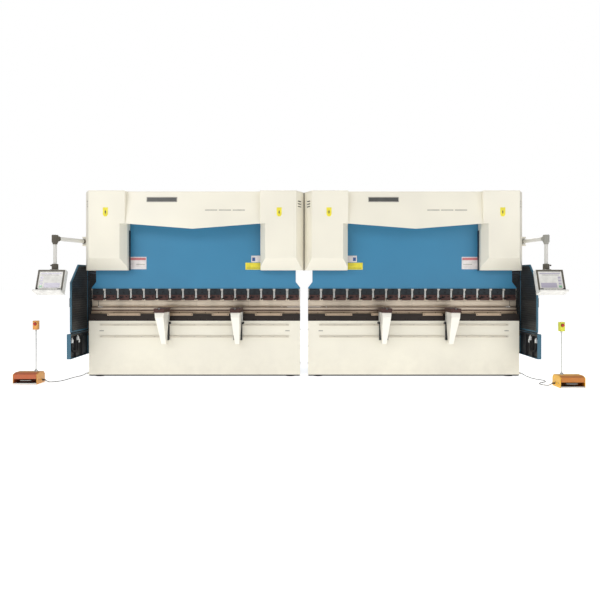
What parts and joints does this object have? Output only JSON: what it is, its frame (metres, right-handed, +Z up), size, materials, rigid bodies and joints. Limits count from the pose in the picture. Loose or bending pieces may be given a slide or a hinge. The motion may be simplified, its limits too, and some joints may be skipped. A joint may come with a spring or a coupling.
{
  "type": "tandem hydraulic press brake",
  "caption": "Tandem press brake: two hydraulic sheet-bending machines side by side, with clamped punches, dies, back gauges, support arms, side guards, pendants and foot switches.",
  "frame": {"origin": "on the floor under the bending line, midway between the two machines", "axes": "+X along the bending line to the right as the operator faces the machines, -Y towards the operator, +Z up"},
  "size_m": [7.843, 2.248, 2.79],
  "materials": {
    "cream_paint": "satin powder coat",
    "blue_paint": "satin enamel",
    "frame_paint": "satin enamel",
    "table_steel": "oiled dark steel",
    "die_steel": "ground and browned",
    "punch_steel": "ground",
    "clamp_steel": "burnished",
    "rod_chrome": "polished",
    "cylinder_paint": "gloss enamel",
    "tank_paint": "satin enamel",
    "motor_paint": "painted casting",
    "foot_rubber": "matt",
    "gauge_steel": "ground",
    "carriage_paint": "black anodised",
    "rail_steel": "drawn",
    "arm_paint": "painted",
    "guard_black": "matt powder coat",
    "boom_grey": "satin",
    "pendant_case": "dark grey powder coat",
    "pedal_yellow": "yellow-orange enamel",
    "treadle_rubber": "ribbed",
    "stop_yellow": "satin",
    "button_red": "gloss",
    "cable_grey": "matt"
  },
  "bodies": {
    "root": {"left_side_frames": "frame_paint", "left_bed": "cream_paint", "left_table": "table_steel", "left_die": "die_steel", "left_centre_panel": "cream_paint", "left_column_covers": "cream_paint", "left_cylinders": "cylinder_paint", "left_oil_tank": "tank_paint", "left_guard_frame": "guard_black", "left_foot_switch": "pedal_yellow", "left_stop_stand": "stop_yellow", "left_cable": "cable_grey", "right_side_frames": "frame_paint", "right_bed": "cream_paint", "right_table": "table_steel", "right_die": "die_steel", "right_centre_panel": "cream_paint", "right_column_covers": "cream_paint", "right_cylinders": "cylinder_paint", "right_oil_tank": "tank_paint", "right_guard_frame": "guard_black", "right_foot_switch": "pedal_yellow", "right_stop_stand": "stop_yellow", "right_cable": "cable_grey", "levelling_feet": "foot_rubber", "gauge_runways": "rail_steel", "support_rails": "rail_steel", "top_covers": "cream_paint", "pump_motors": "motor_paint", "cabinets": "cream_paint"},
    "left_ram": {"left_ram": "blue_paint", "left_piston_rods": "rod_chrome", "left_clamps": "clamp_steel", "left_punch": "punch_steel"},
    "left_gauge_carriage": {"left_gauge_carriage": "carriage_paint"},
    "left_gauge_beam": {"left_gauge_beam": "gauge_steel"},
    "left_finger_a": {"left_finger_a": "gauge_steel"},
    "left_finger_b": {"left_finger_b": "gauge_steel"},
    "left_support_arm_a": {"left_support_arm_a": "arm_paint"},
    "left_support_arm_b": {"left_support_arm_b": "arm_paint"},
    "left_boom": {"left_boom": "boom_grey"},
    "left_pendant": {"left_pendant": "pendant_case"},
    "left_guard_door": {"left_guard_door": "guard_black"},
    "left_treadle": {"left_treadle": "treadle_rubber"},
    "left_stop_button": {"left_stop_button": "button_red"},
    "right_ram": {"right_ram": "blue_paint", "right_piston_rods": "rod_chrome", "right_clamps": "clamp_steel", "right_punch": "punch_steel"},
    "right_gauge_carriage": {"right_gauge_carriage": "carriage_paint"},
    "right_gauge_beam": {"right_gauge_beam": "gauge_steel"},
    "right_finger_a": {"right_finger_a": "gauge_steel"},
    "right_finger_b": {"right_finger_b": "gauge_steel"},
    "right_support_arm_a": {"right_support_arm_a": "arm_paint"},
    "right_support_arm_b": {"right_support_arm_b": "arm_paint"},
    "right_boom": {"right_boom": "boom_grey"},
    "right_pendant": {"right_pendant": "pendant_case"},
    "right_guard_door": {"right_guard_door": "guard_black"},
    "right_treadle": {"right_treadle": "treadle_rubber"},
    "right_stop_button": {"right_stop_button": "button_red"}
  },
  "joints": [
    {"name": "left_ram_stroke", "type": "slide", "parent": "root", "child": "left_ram", "axis": [0, 0, 1], "range_m": [0, 0.2]},
    {"name": "left_gauge_travel", "type": "slide", "parent": "root", "child": "left_gauge_carriage", "axis": [0, 1, 0], "range_m": [0, 0.45]},
    {"name": "left_gauge_lift", "type": "slide", "parent": "left_gauge_carriage", "child": "left_gauge_beam", "axis": [0, 0, 1], "range_m": [0, 0.12]},
    {"name": "left_finger_a_slide", "type": "slide", "parent": "left_gauge_beam", "child": "left_finger_a", "axis": [1, 0, 0], "range_m": [-0.6, 0.4]},
    {"name": "left_finger_b_slide", "type": "slide", "parent": "left_gauge_beam", "child": "left_finger_b", "axis": [1, 0, 0], "range_m": [-0.4, 0.6]},
    {"name": "left_support_a_slide", "type": "slide", "parent": "root", "child": "left_support_arm_a", "axis": [1, 0, 0], "range_m": [-0.85, 0.35]},
    {"name": "left_support_b_slide", "type": "slide", "parent": "root", "child": "left_support_arm_b", "axis": [1, 0, 0], "range_m": [-0.45, 0.7]},
    {"name": "left_boom_swing", "type": "hinge", "parent": "root", "child": "left_boom", "pos_m": [-3.352, -0.05, 2.05], "axis": [0, 0, 1], "range_deg": [-60, 14]},
    {"name": "left_pendant_swivel", "type": "hinge", "parent": "left_boom", "child": "left_pendant", "pos_m": [-3.55286, -0.66819, 1.64], "axis": [0, 0, 1], "range_deg": [-60, 20]},
    {"name": "left_guard_door_hinge", "type": "hinge", "parent": "root", "child": "left_guard_door", "pos_m": [-3.36, 0.075, 1.2], "axis": [0, 0, 1], "range_deg": [-110, 0]},
    {"name": "left_treadle_press", "type": "hinge", "parent": "root", "child": "left_treadle", "pos_m": [-3.888, -0.699, 0.045], "axis": [1, 0, 0], "range_deg": [0, 8], "stiffness_Nm_per_rad": 40, "springref_deg": -5.73},
    {"name": "left_stop_press", "type": "slide", "parent": "root", "child": "left_stop_button", "axis": [0, 1, 0], "range_m": [0, 0.006], "stiffness_N_per_m": 600, "springref_m": -0.004},
    {"name": "right_ram_stroke", "type": "slide", "parent": "root", "child": "right_ram", "axis": [0, 0, 1], "range_m": [0, 0.2]},
    {"name": "right_gauge_travel", "type": "slide", "parent": "root", "child": "right_gauge_carriage", "axis": [0, 1, 0], "range_m": [0, 0.45]},
    {"name": "right_gauge_lift", "type": "slide", "parent": "right_gauge_carriage", "child": "right_gauge_beam", "axis": [0, 0, 1], "range_m": [0, 0.12]},
    {"name": "right_finger_a_slide", "type": "slide", "parent": "right_gauge_beam", "child": "right_finger_a", "axis": [1, 0, 0], "range_m": [-0.6, 0.4]},
    {"name": "right_finger_b_slide", "type": "slide", "parent": "right_gauge_beam", "child": "right_finger_b", "axis": [1, 0, 0], "range_m": [-0.4, 0.6]},
    {"name": "right_support_a_slide", "type": "slide", "parent": "root", "child": "right_support_arm_a", "axis": [1, 0, 0], "range_m": [-0.85, 0.35]},
    {"name": "right_support_b_slide", "type": "slide", "parent": "root", "child": "right_support_arm_b", "axis": [1, 0, 0], "range_m": [-0.35, 0.8]},
    {"name": "right_boom_swing", "type": "hinge", "parent": "root", "child": "right_boom", "pos_m": [3.352, -0.05, 2.05], "axis": [0, 0, 1], "range_deg": [-10, 70]},
    {"name": "right_pendant_swivel", "type": "hinge", "parent": "right_boom", "child": "right_pendant", "pos_m": [3.44246, -0.69367, 1.64], "axis": [0, 0, 1], "range_deg": [-20, 60]},
    {"name": "right_guard_door_hinge", "type": "hinge", "parent": "root", "child": "right_guard_door", "pos_m": [3.36, 0.075, 1.2], "axis": [0, 0, 1], "range_deg": [0, 110]},
    {"name": "right_treadle_press", "type": "hinge", "parent": "root", "child": "right_treadle", "pos_m": [3.615, -0.978, 0.045], "axis": [1, 0, 0], "range_deg": [0, 8], "stiffness_Nm_per_rad": 40, "springref_deg": -5.73},
    {"name": "right_stop_press", "type": "slide", "parent": "root", "child": "right_stop_button", "axis": [0, 1, 0], "range_m": [0, 0.006], "stiffness_N_per_m": 600, "springref_m": -0.004}
  ]
}
